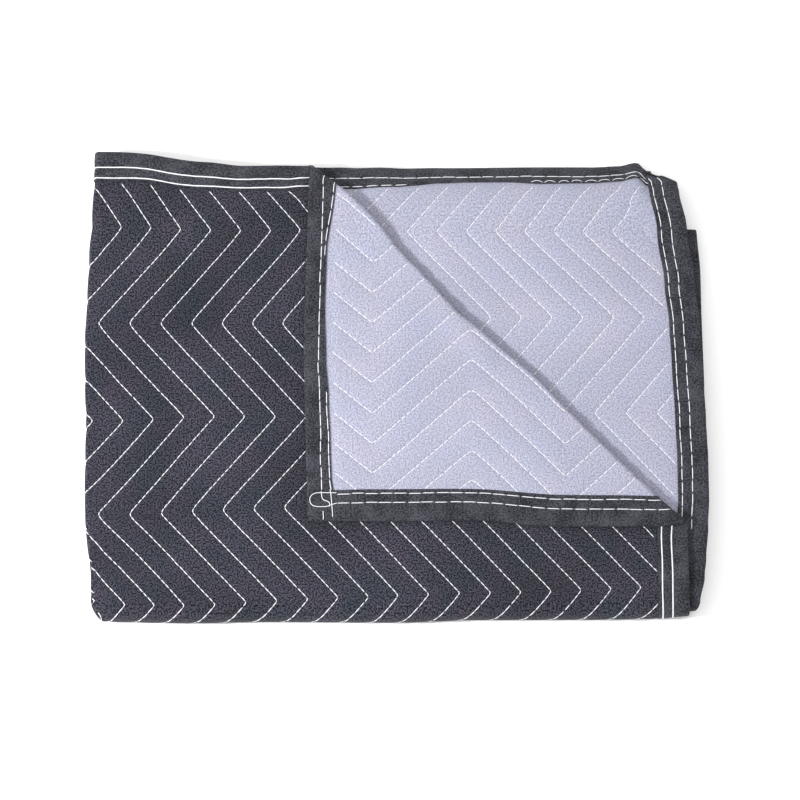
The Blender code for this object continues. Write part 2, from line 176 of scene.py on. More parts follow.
# s, how far the lower layer's right edge moves to +X
RIGHT_LOWER = (
    (0.0, -0.033), (0.01, -0.032), (0.028, -0.0235), (0.05, -0.0215), (0.1, -0.0115),
    (0.18, -0.0015), (0.248, 0.0045), (0.31, 0.007), (0.397, 0.0102), (0.46, 0.012), (0.52, 0.012),
    (0.57, 0.0095), (0.622, 0.0055), (0.653, 0.0025), (0.693, -0.005), (0.717, -0.01),
    (0.76, -0.006), (0.9, 0.002), (1.138, 0.009), (1.26, 0.009), (1.33, 0.004), (1.4, 0.008),
    (1.583, 0.01), (1.7, 0.008), (1.8, 0.003), (1.908, -0.005),
)
# s, how far the upper layer's right edge moves to +X
RIGHT_UPPER = (
    (0.693, 0.0), (0.74, 0.001), (0.99, 0.006), (1.286, 0.006), (1.435, 0.006), (1.7, 0.006),
    (1.8, 0.003), (1.908, -0.005),
)
# x, how far the back edge reaches further back
BACK_PUSH = (
    (-0.46, 0.013), (-0.414, 0.013), (-0.33, 0.009), (-0.234, 0.0066), (-0.174, 0.0075),
    (-0.144, 0.011), (-0.114, 0.014), (-0.07, 0.017), (0.0, 0.021), (0.07, 0.025), (0.3, 0.026),
    (0.34, 0.028), (0.37, 0.034), (0.386, 0.02),
)
# x, how much wider the end binding lies there
BINDING_SPREAD = (
    (-0.45, 0.011), (-0.35, 0.008), (-0.29, 0.0075), (-0.234, 0.003), (-0.174, 0.003),
    (-0.144, -0.001), (-0.11, -0.003), (-0.07, -0.004), (-0.02, -0.002), (0.05, 0.0),
)
# x, how far the back fold below reaches further back
BACK_FOLD_PUSH = ((0.38, 0.0), (0.425, 0.017))
# x, how far the front fold stays back
FRONT_PULL = (
    (-0.464, 0.02), (-0.448, 0.01), (-0.43, 0.004), (-0.3, 0.002), (-0.2, 0.004), (0.0, 0.003),
    (0.12, 0.007), (0.3, 0.0075), (0.39, 0.009), (0.43, 0.013),
)
# x, how steeply the tail's end droops
TAIL_DROOP = ((-0.45, 0.06), (-0.14, 0.08), (0.08, 0.46))
# s, how far the upper layer's side edge is let out over the turned corner
SIDE_WAVES = ((0.0, -0.004), (0.25, -0.004), (0.377, 0.006), (0.512, 0.006), (0.6, 0.0))
# u, how far its back edge is let out there
BACK_WAVES = (
    (-0.18, 0.0), (-0.06, 0.009), (0.08, 0.009), (0.17, 0.0), (0.34, 0.0), (0.373, 0.003),
    (0.64, 0.008), (0.7, 0.006), (0.782, 0.0035), (0.861, 0.0015), (0.9, 0.0),
)
# s along the turned corner's fold, how far the fold bulges
TURN_WAVES = (
    (0.0, 0.0), (0.04, 0.001), (0.103, 0.006), (0.152, 0.0023), (0.231, -0.0047), (0.264, -0.0006),
    (0.338, 0.0042), (0.387, 0.0015), (0.434, 0.0), (0.49, -0.001), (0.566, -0.001),
)
# s, how far in the rows of stitches and the inner edge of the upper side's binding lie
SIDE_BINDING_IN = (
    (0.0, 0.0), (0.03, 0.0035), (0.1, 0.005), (0.2, 0.0055), (0.31, 0.004), (0.45, 0.0025),
    (0.6, 0.0),
)
# u, how far in the inner edge of the back end's binding lies
END_BINDING_IN = (
    (-0.86, -0.003), (-0.76, -0.0015), (-0.7, 0.0), (-0.64, -0.004), (-0.58, -0.0046),
    (-0.535, -0.003), (-0.49, 0.0), (-0.46, 0.0024), (-0.38, 0.0046), (-0.33, 0.0), (0.3, 0.0),
    (0.373, 0.003), (0.47, -0.008), (0.546, -0.0082), (0.641, -0.0052), (0.704, -0.0028),
    (0.767, -0.0018), (0.83, -0.001), (0.86, 0.002),
)
# s, how far the seams have wandered across the pad
UPPER_WANDER = ((0.1, -0.008), (0.247, -0.0035), (0.395, 0.002), (0.542, 0.0015), (0.69, 0.0065))
LOWER_WANDER = ((0.1, 0.0145), (0.247, 0.0135), (0.395, 0.018), (0.69, 0.0))
TURNED_WANDER = ((0.1, -0.01), (0.247, -0.0135), (0.395, -0.01))
TURNED_SLANT = 0.048  # how much further they have wandered there for each metre to the left
TURNED_SLANT_FROM = 0.82
# s, how far their points have wandered towards the back edge
LOWER_POINTS = ((0.1, 0.0035), (0.247, 0.0125), (0.395, 0.008), (0.542, 0.0))
TURNED_POINTS = ((0.1, 0.003), (0.247, 0.003), (0.395, 0.0115))
# s, how far they have wandered at the left fold
LEFT_POINTS = ((0.247, 0.0), (0.395, -0.0075), (0.542, -0.008), (0.69, 0.0))
# s, how far they have wandered across there
LEFT_WANDER = ((0.395, 0.0), (0.542, -0.004), (0.69, 0.005))
FRONT_POINTS = 0.0105  # how far they have wandered near the front fold, at the right
# u, how much sooner a seam turns back there
FRONT_TURNS = (
    (0.3, -0.001), (0.42, 0.0015), (0.47, 0.004), (0.6, 0.004), (0.69, 0.006), (0.78, 0.009),
    (0.83, 0.011),
)
# Where each wandering of the seams begins, and over what length it grows or fades
LOWER_FADES = (-0.35, 0.30)
TURNED_GROWS = (-0.12, 0.11)
TURNED_FADES = (0.50, 0.06)
LEFT_GROWS = (0.45, 0.08)
FRONT_GROWS = (0.46, 0.12)
FRONT_POINTS_GROW = (0.12, 0.30)
LEFT_POINTS_START = -0.05
LEFT_POINTS_FADE = (0.03, 0.16)
LOWER, UPPER, TURNED = -1, 1, 0  # the layers that show
# Creases: the layer, from x and y, to x and y, how high, and how wide
CREASES = (
    (UPPER, -0.192, 0.342, -0.171, 0.33, 0.0014, 0.005),
    (UPPER, -0.158, 0.346, -0.134, 0.331, 0.0022, 0.005),
    (UPPER, -0.172, 0.3, -0.13, 0.281, -0.0036, 0.007),
    (UPPER, -0.166, 0.311, -0.128, 0.297, 0.0028, 0.006),
    (UPPER, -0.19, 0.322, -0.15, 0.316, -0.0014, 0.005),
    (UPPER, -0.452, 0.27, -0.44, 0.215, 0.0016, 0.006),
    (UPPER, -0.446, 0.315, -0.428, 0.285, -0.0014, 0.006),
    (UPPER, -0.452, 0.14, -0.444, 0.09, 0.0012, 0.006),
    (UPPER, -0.38, -0.225, -0.35, -0.262, 0.001, 0.008),
    (UPPER, -0.4, -0.28, -0.3, -0.3, 0.0008, 0.01),
    (TURNED, -0.07, 0.302, -0.025, 0.262, 0.0035, 0.018),
    (TURNED, 0.075, 0.12, 0.13, 0.05, 0.0025, 0.02),
    (LOWER, 0.43, -0.2, 0.468, -0.207, -0.0024, 0.005),
    (LOWER, 0.44, -0.262, 0.46, -0.278, -0.0018, 0.006),
    (LOWER, 0.446, 0.215, 0.462, 0.13, 0.0014, 0.006),
    (LOWER, 0.44, 0.04, 0.466, -0.02, -0.0012, 0.007),
)


def spaced(start, length, steps):
    """Places at equal steps, with both ends."""
    return [start + length * i / steps for i in range(steps + 1)]


def smooth(t):
    """Eases from 0 to 1."""
    t = np.clip(t, 0.0, 1.0)
    return t * t * (3 - 2 * t)


def grown(place, start, length):
    """Eases from 0 at start to 1 a length further on."""
    return smooth((place - start) / length)


def read_table(table, place):
    """A table of two columns, easing from each row to the next."""
    places = np.array([row[0] for row in table])
    values = np.array([row[1] for row in table])
    i = np.clip(np.searchsorted(places, place) - 1, 0, len(places) - 2)
    share = smooth((place - places[i]) / (places[i + 1] - places[i]))
    return values[i] * (1 - share) + values[i + 1] * share


def read_line(table, place):
    """A table of two columns, straight from each row to the next."""
    return np.interp(place, [row[0] for row in table], [row[1] for row in table])


def let_out(u, s):
    """The edges of the turned corner are cut a little uneven."""
    beside = smooth((u - WIDTH_UPPER + CORNER_REACH) / CORNER_REACH)
    behind = smooth((CORNER_REACH - s) / CORNER_REACH)
    return u + read_table(SIDE_WAVES, s) * beside, s - read_table(BACK_WAVES, u) * behind


def turn_corner(u, s, w):
    """The upper layer with its corner turned back: u, s, height over its middle and how far turned."""
    start = -math.pi * TURN_RADIUS / 2
    across = (u - s - TURN_AT) / math.sqrt(2)
    turned = np.clip((across - start) / TURN_RADIUS, 0, math.pi)
    past = np.maximum(0.0, across - start - math.pi * TURN_RADIUS)
    bent = start + (TURN_RADIUS - w) * np.sin(turned) - past
    bent = np.where(across > start, bent, across)
    height = np.where(across > start, TURN_RADIUS * (1 - np.cos(turned)) + w * np.cos(turned), w)
    bulge = read_table(TURN_WAVES, (u + s - TURN_AT) / 2)
    bent = bent + bulge * np.exp(-((bent / TURN_REACH) ** 2))
    moved = (bent - across) / math.sqrt(2)
    return u + moved, s - moved, height, np.where(across > start, (1 - np.cos(turned)) / 2, 0)


def double_over(u, s, height):
    """The left fold: where a point lies across the pad (x) and above the band's middle (a)."""
    half = math.pi * LAYER_MID / 2
    centre = LEFT_FOLD_X + LAYER_MID + FOLD_THICK / 2
    angle = np.clip(u / LAYER_MID, -math.pi / 2, math.pi / 2)
    along = np.maximum(0.0, np.abs(u) - half)
    run = np.where(
        u > 0,
        (RIGHT_UPPER_X - centre) / (WIDTH_UPPER - half),
        (RIGHT_LOWER_X - centre) / (WIDTH_LOWER - half),
    )
    x = centre + along * run - (LAYER_MID + height) * np.cos(angle)
    x = x + read_table(LEFT_FOLD, s) * (1 - smooth(along / LEFT_FOLD_REACH))
    x = x + read_table(LEFT_CORNER, s) * (1 - smooth(along / LEFT_CORNER_REACH))
    lean = np.where(u > 0, read_table(RIGHT_UPPER, s), read_table(RIGHT_LOWER, s))
    x = x + lean * grown(along, *RIGHT_EDGE_GROWS)
    return x, (LAYER_MID + height) * np.sin(angle)


def wrap(s, x):
    """The middle of the doubled band (y, z) and its outward normal, at s, where it lies at x."""
    droop = read_table(TAIL_DROOP, x)
    bend = droop * np.clip((TAIL_LENGTH - s) / TAIL_BEND, 0, 1)
    past = np.maximum(0.0, TAIL_STRAIGHT - s)
    front = np.clip((s - TOP_LENGTH) / FRONT_RADIUS, 0, math.pi)
    back = np.clip((s - BACK_ARC_START) / BACK_RADIUS, 0, math.pi)
    bottom = np.clip(s - TOP_LENGTH - FRONT_ARC, 0, BOTTOM_LENGTH)
    tucked = np.maximum(0.0, s - BACK_ARC_START - BACK_ARC)
    tail_y = TAIL_BEND / droop * np.sin(bend) + past * np.cos(bend)
    tail_z = TAIL_BEND / droop * (1 - np.cos(bend)) + past * np.sin(bend)
    y = BACK_EDGE_Y - np.clip(s, TAIL_LENGTH, TOP_LENGTH) + tail_y
    y = y - FRONT_RADIUS * np.sin(front) + bottom + BACK_RADIUS * np.sin(back) - tucked
    z = TOP_MID - tail_z
    z = z - FRONT_RADIUS * (1 - np.cos(front)) + BACK_RADIUS * (1 - np.cos(back))
    turn = bend - front - back
    return y, z, np.sin(turn), np.cos(turn)


def unevenness(layers, x, y):
    """How far the cloth on top lies up or down: slow waves over the whole pad, and its creases."""
    lift = SLOW_WAVE * np.sin(9.0 * x + 5.0 * y + 0.8) * np.cos(11.0 * y - 4.0 * x)
    lift = lift + SHORT_WAVE * np.sin(27.0 * x - 16.0 * y + 2.0)
    for side, from_x, from_y, to_x, to_y, height, reach in CREASES:
        run_x, run_y = to_x - from_x, to_y - from_y
        share = ((x - from_x) * run_x + (y - from_y) * run_y) / (run_x**2 + run_y**2)
        share = np.clip(share, 0, 1)
        away = np.hypot(x - from_x - share * run_x, y - from_y - share * run_y)
        lift = lift + height * layers[side] * np.exp(-((away / reach) ** 2))
    return lift


def pushed_back(s, x):
    """How far the back of the pad reaches further back."""
    return read_table(BACK_PUSH, x) * (1 - grown(s, END_BINDING, BACK_PUSH_REACH))


def frame_shift():
    """From the flat drawing's own origin to the origin of the solids."""
    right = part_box("side_binding_lower")[1].x
    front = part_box("quilted_panel")[0].y
    own_right = RIGHT_LOWER_X + LOWER_BULGE
    own_front = FRONT_FOLD_Y - FRONT_RADIUS - LAYER_MID - FOLD_THICK / 2
    return np.array([right - own_right, front - own_front, 0.0])


SHIFT = frame_shift()


def folded(u, s, w):
    """Where a point of the flat pad lies in the folded pad."""
    u, s, w = (np.asarray(value, dtype=float) for value in np.broadcast_arrays(u, s, w))
    u, s = let_out(u, s)
    turned_u, turned_s, height, turned = turn_corner(u, s, w)
    in_corner = (u > 0) & (s < TOP_LENGTH)
    u = np.where(in_corner, turned_u, u)
    s = np.where(in_corner, turned_s, s)
    height = np.where(in_corner, height, w)
    x, a = double_over(u, s, height)
    y, z, normal_y, normal_z = wrap(s, x)
    y = y + pushed_back(s, x)
    y = y + read_table(BINDING_SPREAD, x) * np.clip(1 - s / END_BINDING, 0, 1)
    off_back_fold = np.abs(s - BACK_ARC_START - BACK_ARC / 2)
    off_front_fold = np.abs(s - TOP_LENGTH - FRONT_ARC / 2)
    y = y + read_table(BACK_FOLD_PUSH, x) * smooth(1 - off_back_fold / BACK_FOLD_REACH)
    y = y + read_table(FRONT_PULL, x) * smooth(1 - off_front_fold / FRONT_PULL_REACH)
    on_top = 1 - smooth((s - TOP_LENGTH + TOP_FADE) / TOP_FADE)
    turned = np.where(in_corner, turned, 0)
    layers = {LOWER: u < 0, UPPER: (u > 0) * (1 - turned), TURNED: turned}
    lift = unevenness(layers, x, y) * on_top
    return np.stack([x, y + normal_y * a, z + normal_z * a + lift], axis=-1) + SHIFT


def zigzag(s):
    """How far a seam has swung at s. Its points towards +u are sharp, the others rounder."""
    turns = (s - APEX_FIRST) / APEX_STEP / 2
    off = np.abs(turns - np.round(turns))
    near_sharp = np.sqrt(off**2 + SHARP_POINT**2)
    near_round = 0.5 - np.sqrt((0.5 - off) ** 2 + ROUND_POINT**2)
    return SEAM_SWING * (1 - 4 * np.where(off < 0.25, near_sharp, near_round))


def seam_wander(u, s):
    """How far the seams have wandered at a point: across the pad, and their points to the back."""
    lower = 1 - grown(u, *LOWER_FADES)
    turned = grown(u - s - TURN_AT, *TURNED_GROWS) * (1 - grown(s, *TURNED_FADES))
    slanted = read_line(TURNED_WANDER, s) - TURNED_SLANT * (TURNED_SLANT_FROM - u)
    across = read_line(UPPER_WANDER, s) * (1 - lower - turned)
    across = across + read_line(LOWER_WANDER, s) * lower + slanted * turned
    near_left = 1 - smooth(u / LEFT_FOLD_REACH)
    folded_in = read_table(LEFT_FOLD, s) * near_left * grown(s, *LEFT_GROWS)
    folded_in = folded_in + read_table(LEFT_CORNER, s) * (1 - smooth(u / LEFT_CORNER_REACH))
    folded_in = folded_in - read_line(LEFT_WANDER, s) * near_left
    near_front = grown(s, *FRONT_GROWS) * (1 - turned)
    sooner = read_line(FRONT_TURNS, u) * near_front
    points = FRONT_POINTS * grown(u, *FRONT_POINTS_GROW) * near_front + sooner
    beside_left = (1 - grown(u, *LEFT_POINTS_FADE)) * (u > LEFT_POINTS_START)
    points = points + read_line(LEFT_POINTS, s) * beside_left
    points = points + (read_line(LOWER_POINTS, s) - pushed_back(s, LEFT_FOLD_X - u)) * lower
    points = points + read_line(TURNED_POINTS, s) * turned
    outward = np.sin(np.clip(u / LAYER_MID, -math.pi / 2, math.pi / 2)) * (LAYER_MID + THICK / 2)
    rolled = outward / FRONT_RADIUS * np.clip(s - TOP_LENGTH, 0, FRONT_ARC)
    return across - folded_in * (u > 0) - SEAM_SLOPE * sooner, points + rolled


def seam_at(base, s):
    """Where the seam that swings about base runs at s."""
    u = base + zigzag(s)
    for _ in range(3):
        across, points = seam_wander(u, s)
        u = base + zigzag(s + points)
    return u + across


def seam_distance(u, s):
    """How far a point is from the nearest seam, across the pad."""
    straight = u
    for _ in range(4):
        across, points = seam_wander(straight, s)
        straight = u - across
    between = (straight - SEAM_START - zigzag(s + points)) / SEAM_PITCH
    return np.abs(between - np.round(between)) * SEAM_PITCH


def half_thickness(u, s):
    """Half the panel's thickness: low at the seams, pillowed between them, pressed at the edges."""
    away = seam_distance(u, s)
    sink = GROOVE * (1 - 2 * away / SEAM_PITCH) ** GROOVE_SHARPNESS
    sink = sink + DIMPLE * np.exp(-((away / DIMPLE_WIDTH) ** 2))
    on_floor = grown(s, TOP_LENGTH + FRONT_ARC, PRESSED_FROM) * (1 - grown(s, BACK_ARC_START, PRESSED_TO))
    full = THICK / 2 - sink * (1 - PRESSED_OUT * on_floor)
    side = np.where(u > 0, WIDTH_UPPER - u, WIDTH_LOWER + u)
    end = np.minimum(s, LENGTH - s)
    rise = grown(side, SIDE_BINDING - TAPER_INSET, TAPER) * grown(end, END_BINDING - TAPER_INSET, TAPER)
    return EDGE_THICK / 2 + (full - EDGE_THICK / 2) * rise


# The flat meshes
FOLD_CUTS = 10  # how many steps the mesh takes round a tight fold
CUT_REACH = 0.03  # a line only cuts faces that are this near
SAME_PLACE = 0.00001
MERGE = 0.00005
ROW_SHOWN, ROW_IN_FOLD, ROW_HIDDEN = 0.005, 0.003, 0.018  # steps along s
COLUMNS_BESIDE = (0.0, 0.0018, 0.0042, 0.0080, 0.0145)  # columns of the mesh beside each seam


def fold_lines():
    """The lines on the flat pad where a tight fold bends it: a point, and the way across."""
    turns = spaced(-math.pi / 2, math.pi, FOLD_CUTS)
    lines = [((turn * LAYER_MID, 0), (1, 0)) for turn in turns]
    lines += [((TURN_AT + math.sqrt(2) * turn * TURN_RADIUS, 0), (1, -1)) for turn in turns]
    return lines


def cut(net, point, across, trim=False):
    """Splits a flat mesh along a line. With trim, what lies across the line goes away."""
    px, py = point
    ax, ay = across
    faces = list(net.faces)
    if not trim:
        near = CUT_REACH * math.hypot(ax, ay)
        starts = [f.verts[0].co for f in faces]
        faces = [f for f, v in zip(faces, starts) if abs((v.x - px) * ax + (v.y - py) * ay) < near]
    edges = dict.fromkeys(e for f in faces for e in f.edges)
    points = dict.fromkeys(v for f in faces for v in f.verts)
    bmesh.ops.bisect_plane(
        net,
        geom=[*points, *edges, *faces],
        plane_co=(px, py, 0),
        plane_no=(ax, ay, 0),
        clear_outer=trim,
        dist=SAME_PLACE,
    )


def graded_rows():
    """The rows of the panel's mesh along s: close where it shows, and round the folds."""
    marks = [PANEL_INSET, END_BINDING, TAIL_STRAIGHT, TAIL_LENGTH, TOP_LENGTH + FRONT_ARC]
    marks += [BACK_ARC_START, BACK_ARC_START + BACK_ARC, LENGTH - PANEL_INSET]
    marks += [APEX_FIRST + APEX_STEP * i for i in range(APEXES)]
    marks.sort()
    slack = 0.001
    rows = [marks[0]]
    for a, b in zip(marks, marks[1:]):
        if b < TOP_LENGTH + FRONT_ARC + slack:
            size = ROW_SHOWN
        elif a > BACK_ARC_START - slack and b < BACK_ARC_START + BACK_ARC + slack:
            size = ROW_IN_FOLD
        else:
            size = ROW_HIDDEN
        steps = max(1, round((b - a) / size))
        rows += spaced(a, b - a, steps)[1:]
    return np.array(rows)


def panel_net():
    """The flat panel as a mesh whose columns follow the seams, cut where it folds."""
    before_next = [SEAM_PITCH - b for b in reversed(COLUMNS_BESIDE[1:])]
    pitch = [*COLUMNS_BESIDE, SEAM_PITCH / 2, *before_next]
    first = -math.ceil((WIDTH_LOWER + 2 * SEAM_SWING) / SEAM_PITCH)
    last = math.ceil((WIDTH_UPPER + 2 * SEAM_SWING) / SEAM_PITCH)
    columns = np.array([k * SEAM_PITCH + b for k in range(first, last) for b in pitch])
    rows = graded_rows()
    u = seam_at(SEAM_START + columns[None, :], rows[:, None])
    s = np.repeat(rows[:, None], len(columns), axis=1)
    keep = (u > -WIDTH_LOWER - SEAM_PITCH) & (u < WIDTH_UPPER + SEAM_PITCH)
    ids = np.arange(u.size).reshape(u.shape)
    quads = np.stack([ids[:-1, :-1], ids[:-1, 1:], ids[1:, 1:], ids[1:, :-1]], axis=-1)
    whole = keep[:-1, :-1] & keep[:-1, 1:] & keep[1:, 1:] & keep[1:, :-1]
    mesh = bpy.data.meshes.new("flat panel")
    points = np.stack([u.ravel(), s.ravel(), np.zeros(u.size)], axis=1)
    mesh.from_pydata(points.tolist(), [], quads[whole].tolist())
    net = bmesh.new()
    net.from_mesh(mesh)
    bpy.data.meshes.remove(mesh)
    loose = [v for v in net.verts if not v.link_faces]
    bmesh.ops.delete(net, geom=loose, context="VERTS")
    corner = CORNER_CUT + PANEL_INSET
    for edge in (WIDTH_UPPER, -WIDTH_LOWER):
        side = math.copysign(1, edge)
        cut(net, (edge - side * PANEL_INSET, 0), (side, 0), trim=True)
        cut(net, (edge - side * corner, LENGTH), (side, 1), trim=True)
    cut(net, (WIDTH_UPPER - corner, 0), (1, -1), trim=True)
    cut(net, (LOWER_STEP + LOWER_SLANT_INSET - WIDTH_LOWER, 0), LOWER_SLANT, trim=True)
    for point, across in fold_lines():
        cut(net, point, across)
    bmesh.ops.remove_doubles(net, verts=net.verts, dist=MERGE)
    return net


def new_piece(name, points, faces, flat, material, slot, flip=False, crease=None):
    """A mesh of folded points. Its map is the flat pad in metres, so that a weave follows the cloth."""
    mesh = bpy.data.meshes.new(name)
    mesh.from_pydata(np.asarray(points).tolist(), [], faces)
    corners = np.zeros(len(mesh.loops), dtype=int)
    mesh.loops.foreach_get("vertex_index", corners)
    mesh.uv_layers.new(name="flat").data.foreach_set("uv", np.asarray(flat)[corners].ravel())
    if flip:
        mesh.flip_normals()
    mesh.polygons.foreach_set("use_smooth", [True] * len(mesh.polygons))
    if crease is not None:
        mesh.set_sharp_from_angle(angle=crease)
    mesh.materials.append(material)
    mesh.validate()
    piece = bpy.data.objects.new(name, mesh)
    bpy.context.scene.collection.objects.link(piece)
    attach(piece, "root")
    return piece


class Nodes:
    """A short way to write a material's nodes."""

    def __init__(self, name, surface):
        self.material = bpy.data.materials.new(name)
        self.material.use_nodes = True
        self.tree = self.material.node_tree
        self.shader = self.tree.nodes["Principled BSDF"]
        for key, value in surface.items():
            self.shader.inputs[key].default_value = value

    def add(self, kind, inputs=None, **settings):
        """A node. An input is a plain value, or the socket that it comes from."""
        node = self.tree.nodes.new(kind)
        for key, value in settings.items():
            setattr(node, key, value)
        for key, value in (inputs or {}).items():
            if isinstance(value, bpy.types.NodeSocket):
                self.tree.links.new(value, node.inputs[key])
            else:
                node.inputs[key].default_value = value
        return node

    def flat(self, scale_u=1.0, scale_s=1.0, turn=0.0):
        """Places on the flat pad, in metres before they are scaled and turned."""
        place = self.add("ShaderNodeUVMap", uv_map="flat")
        mapping = self.add("ShaderNodeMapping", {"Vector": place.outputs[0]})
        mapping.inputs["Scale"].default_value = (scale_u, scale_s, 1)
        mapping.inputs["Rotation"].default_value = (0, 0, turn)
        return mapping.outputs[0]

    def noise(self, vector, scale, detail=2.0, roughness=0.5):
        inputs = {"Vector": vector, "Scale": scale, "Detail": detail, "Roughness": roughness}
        return self.add("ShaderNodeTexNoise", inputs).outputs["Fac"]

    def ranged(self, value, low, high, to_low=0.0, to_high=1.0):
        inputs = {0: value, 1: low, 2: high, 3: to_low, 4: to_high}
        return self.add("ShaderNodeMapRange", inputs).outputs[0]

    def math(self, operation, a, b):
        return self.add("ShaderNodeMath", {0: a, 1: b}, operation=operation).outputs[0]

    def mix(self, factor, a, b, how="MIX"):
        """Mixes two colours. Each is a socket or three numbers."""
        a, b = (c if isinstance(c, bpy.types.NodeSocket) else (*c, 1) for c in (a, b))
        inputs = {0: factor, 6: a, 7: b}
        return self.add("ShaderNodeMix", inputs, data_type="RGBA", blend_type=how).outputs[2]

    def bump(self, height, strength, distance):
        inputs = {"Height": height, "Strength": strength, "Distance": distance}
        normal = self.add("ShaderNodeBump", inputs).outputs[0]
        self.tree.links.new(normal, self.shader.inputs["Normal"])

    def color(self, socket):
        self.tree.links.new(socket, self.shader.inputs["Base Color"])


def felted_cloth(name, dark, light, cool, warm, wear, contrast):
    """Non-woven cloth: matted fibres in clumps a few millimetres across, tinted in slow patches."""
    surface = {"Roughness": 0.95, "Sheen Weight": 0.06, "Sheen Roughness": 0.6}
    n = Nodes(name, {**surface, "Specular IOR Level": 0.13})
    clumps = n.noise(n.flat(), 430.0, detail=1.0)
    fibres = n.noise(n.flat(240.0, 900.0, 0.6), 1.0)
    crossed = n.noise(n.flat(900.0, 240.0, 0.35), 1.0)
    slow = n.noise(n.flat(), 16.0)
    matted = n.math("ADD", n.math("MULTIPLY", fibres, 0.5), n.math("MULTIPLY", crossed, 0.5))
    blend = n.math("ADD", n.math("MULTIPLY", clumps, 0.7), n.math("MULTIPLY", matted, 0.3))
    body = n.mix(n.ranged(blend, 0.5 - contrast, 0.5 + contrast), dark, light)
    tint = n.mix(n.ranged(slow, 0.36, 0.64), cool, warm)
    worn = n.ranged(n.noise(n.flat(), 7.0, detail=1.0), 0.35, 0.65, 1 - wear, 1 + wear)
    n.color(n.mix(1.0, n.mix(1.0, body, tint, "MULTIPLY"), worn, "MULTIPLY"))
    n.bump(blend, 0.3, 0.0008)
    return n.material


def woven_tape(name, dark, light):
    """Binding tape: a plain weave of fine yarn, a little rubbed."""
    n = Nodes(name, {"Roughness": 0.85, "Sheen Weight": 0.06, "Specular IOR Level": 0.16})
    yarn = {"Vector": n.flat(), "Scale": 190.0, "Distortion": 1.4}
    warp, weft = (n.add("ShaderNodeTexWave", yarn, bands_direction=way) for way in "XY")
    weave = n.math("MULTIPLY", warp.outputs["Fac"], weft.outputs["Fac"])
    clumps = n.noise(n.flat(), 380.0, detail=3.0, roughness=0.65)
    slow = n.noise(n.flat(), 30.0)
    tone = n.math("ADD", n.math("MULTIPLY", clumps, 0.75), n.math("MULTIPLY", slow, 0.25))
    tone = n.math("ADD", tone, n.math("MULTIPLY", weave, 0.10))
    n.color(n.mix(n.ranged(tone, 0.45, 0.61), dark, light))
    n.bump(n.math("ADD", weave, clumps), 0.5, 0.0006)
    return n.material


def sewing_thread(name, color):
    """White thread of twisted strands."""
    n = Nodes(name, {"Roughness": 0.6, "Specular IOR Level": 0.35})
    wave = n.add("ShaderNodeTexWave", {"Vector": n.flat(1.0, 1.0, 0.8), "Scale": 420.0})
    strands = wave.outputs["Fac"]
    n.color(n.mix(strands, tuple(c * 0.92 for c in color), color))
    n.bump(strands, 0.4, 0.0002)
    return n.material


CHARCOAL_CLOTH = felted_cloth(
    "charcoal felt",
    dark=(0.0018, 0.0018, 0.0030),
    light=(0.0435, 0.043, 0.0565),
    cool=(0.78, 0.92, 0.95),
    warm=(1.14, 1.03, 1.12),
    wear=0.16,
    contrast=0.058,
)
LAVENDER_CLOTH = felted_cloth(
    "lavender felt",
    dark=(0.190, 0.192, 0.256),
    light=(0.350, 0.354, 0.430),
    cool=(0.97, 0.99, 1.01),
    warm=(1.03, 1.01, 1.01),
    wear=0.03,
    contrast=0.11,
)
TAPE = woven_tape("binding tape", (0.0045, 0.0048, 0.0070), (0.055, 0.057, 0.070))
THREAD = sewing_thread("white thread", (0.64, 0.64, 0.67))


def flat_parts(net):
    """The points and faces of a flat mesh, which is then let go."""
    net.verts.index_update()
    points = np.array([v.co[:] for v in net.verts])
    faces = [[v.index for v in f.verts] for f in net.faces]
    net.free()
    return points, faces


def panel_faces():
    """The pad's two cloths. Padding fills the room between them, and the bindings close their edges."""
    points, faces = flat_parts(panel_net())
    flat = points[:, :2]
    u, s = flat.T
    half = half_thickness(u, s)
    charcoal = ("charcoal_face", folded(u, s, half), faces, flat, CHARCOAL_CLOTH, "charcoal_face")
    lavender = ("lavender_face", folded(u, s, -half), faces, flat, LAVENDER_CLOTH, "lavender_face")
    return new_piece(*charcoal, flip=True), new_piece(*lavender)


def tape_height(depth, width, rows):
    """Half the bound edge's thickness at a depth from the edge: round, then pressed in by the rows."""
    outer = BINDING_THICK / 2
    round_edge = outer * np.sqrt(1 - np.clip(1 - depth / outer, 0, 1) ** 2)
    crown = CROWN * np.sin(math.pi * np.clip(depth / rows[0], 0, 1))
    dips = sum(ROW_DIP * np.exp(-(((depth - row) / ROW_DIP_WIDTH) ** 2)) for row in rows)
    flare = FLARE * grown(depth, rows[1], width - rows[1])
    return np.minimum(round_edge, outer) + np.where(depth > outer, crown - dips + flare, 0)


def tape_section(width, rows):
    """The strip across the edge, from its inner edge on one side round to the other and back inside."""
    outer = BINDING_THICK / 2
    first, second = rows
    inward = [width, width - LIP_ROUND, second + ROW_BESIDE, second, second - ROW_BESIDE]
    inward += [(first + second) / 2, first + ROW_BESIDE, first, first - ROW_BESIDE]
    inward += [first * 0.62, first * 0.36]
    inward += [outer * (1 - math.cos(math.radians(a))) for a in (75, 60, 45, 30, 15)]
    top = [(d, float(tape_height(np.array(d), width, rows))) for d in inward]
    top[0] = (width, top[1][1] - LIP_DROP)
    shell = [*top, (0.0, 0.0), *((d, -h) for d, h in reversed(top))]
    inner = [(width, top[0][1] - LIP)]
    inner += [(d, h - BINDING_WALL) for d, h in (top[1], top[5], top[10])]
    shell += [(d, -h) for d, h in inner]
    shell += [(CORE_DEPTH, -CORE_HEIGHT), (CORE_DEPTH, CORE_HEIGHT)]
    shell += list(reversed(inner))
    return shell


